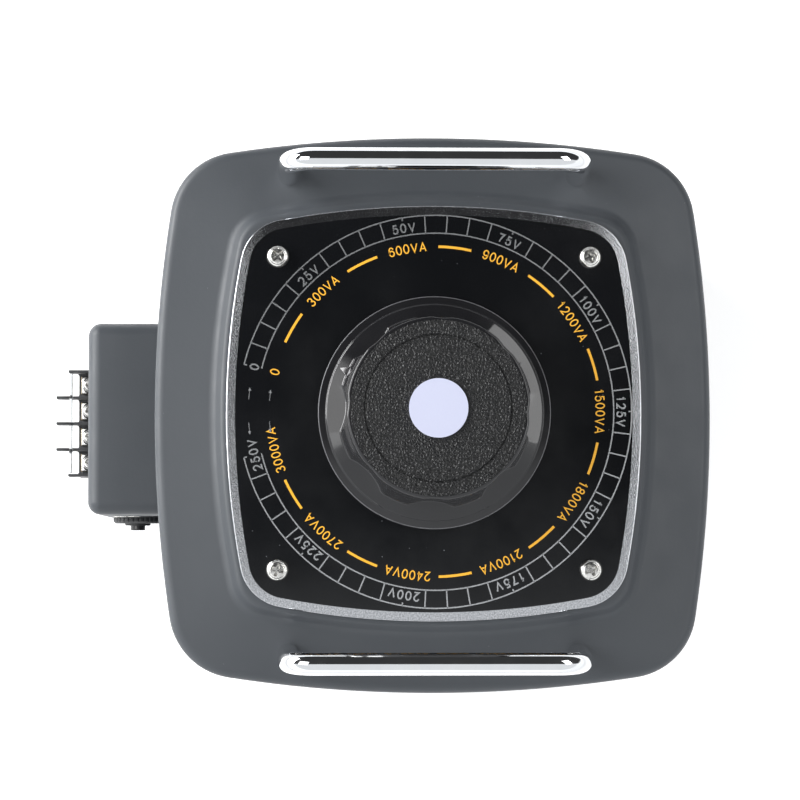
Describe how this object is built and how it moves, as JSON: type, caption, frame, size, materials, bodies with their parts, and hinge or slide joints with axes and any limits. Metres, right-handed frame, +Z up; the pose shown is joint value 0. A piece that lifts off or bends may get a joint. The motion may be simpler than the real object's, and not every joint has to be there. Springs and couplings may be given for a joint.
{
  "type": "variac autotransformer",
  "caption": "Bench variable autotransformer with a lobed dial knob, a square cased toroid, two bar handles and a front terminal box.",
  "frame": {"origin": "on the surface it stands on, under the middle of the overall box; the knob axis is at x = 0, y = 0.0215 m", "axes": "+Z up along the knob axis; -Y is the front, where the terminals are; +X is the right side seen from the front"},
  "size_m": [0.2026, 0.2456, 0.2294],
  "materials": {
    "grey_paint": "satin",
    "dial_print": "gloss",
    "chrome": "polished",
    "zinc_steel": "satin",
    "bare_steel": "satin",
    "core_steel": "satin",
    "black_gloss": "gloss",
    "black_moulding": "matte",
    "clear_strip": "gloss",
    "rubber": "matte",
    "brass": "satin",
    "bronze": "satin",
    "enamelled_copper": "gloss",
    "cast_aluminium": "satin",
    "phenolic": "satin",
    "nylon": "satin",
    "pressboard": "matte",
    "carbon": "matte",
    "red_cable": "satin",
    "blue_cable": "satin",
    "label_paper": "satin"
  },
  "bodies": {
    "case": {"base_tray": "grey_paint", "rubber_feet": "rubber", "foot_screws": "zinc_steel", "side_shell": "grey_paint", "top_cover": "grey_paint", "case_screws": "zinc_steel", "clinch_nuts": "zinc_steel", "earth_screw": "brass", "dial_plate": "dial_print", "dial_screws": "zinc_steel", "cover_bush": "nylon", "handle_right": "chrome", "handle_left": "chrome", "handle_nuts": "zinc_steel", "terminal_box": "grey_paint", "terminal_block": "black_moulding", "terminal_plates": "brass", "terminal_washers": "zinc_steel", "terminal_screws": "zinc_steel", "terminal_block_screws": "zinc_steel", "common_link": "brass", "breaker_body": "black_moulding", "breaker_washer": "zinc_steel", "breaker_nut": "black_moulding", "breaker_tabs": "brass", "toroid_core": "core_steel", "core_cap_lower": "pressboard", "core_cap_upper": "pressboard", "winding": "enamelled_copper", "coil_pads": "rubber", "coil_lugs": "brass", "spindle_column": "cast_aluminium", "column_screws": "zinc_steel", "shaft_bushes": "bronze", "clamp_disc": "phenolic", "clamp_nut": "bare_steel", "stop_post": "bare_steel", "collector_contact": "bronze", "collector_screw": "zinc_steel", "lead_live": "red_cable", "lead_breaker": "red_cable", "lead_neutral": "blue_cable", "lead_output": "red_cable"},
    "rotor": {"shaft": "bare_steel", "retaining_ring": "bare_steel", "thrust_washers": "bare_steel", "arm_hub": "phenolic", "hub_set_screw": "bare_steel", "slip_ring": "brass", "brush_arm": "cast_aluminium", "brush_holder": "brass", "brush_spring": "bare_steel", "knob": "black_gloss", "knob_insert": "brass", "knob_screw": "zinc_steel", "knob_label": "label_paper"},
    "brush": {"carbon_brush": "carbon"},
    "breaker_button": {"reset_button": "black_gloss"},
    "terminal_lid": {"terminal_cover": "clear_strip"}
  },
  "joints": [
    {"name": "knob_turn", "type": "hinge", "parent": "case", "child": "rotor", "pos_m": [0, 0.0215, 0.19], "axis": [0, 0, 1], "range_deg": [-321.3, 11.3]},
    {"name": "brush_lift", "type": "slide", "parent": "rotor", "child": "brush", "axis": [0, 0, 1], "range_m": [0, 0.003], "stiffness_N_per_m": 500, "springref_m": -0.004, "deforming": ["brush_spring"]},
    {"name": "button_trip", "type": "slide", "parent": "case", "child": "breaker_button", "axis": [1, 0, 0], "range_m": [0, 0.0035]},
    {"name": "lid_lift", "type": "slide", "parent": "case", "child": "terminal_lid", "axis": [0, 0, 1], "range_m": [0, 0.02]}
  ]
}
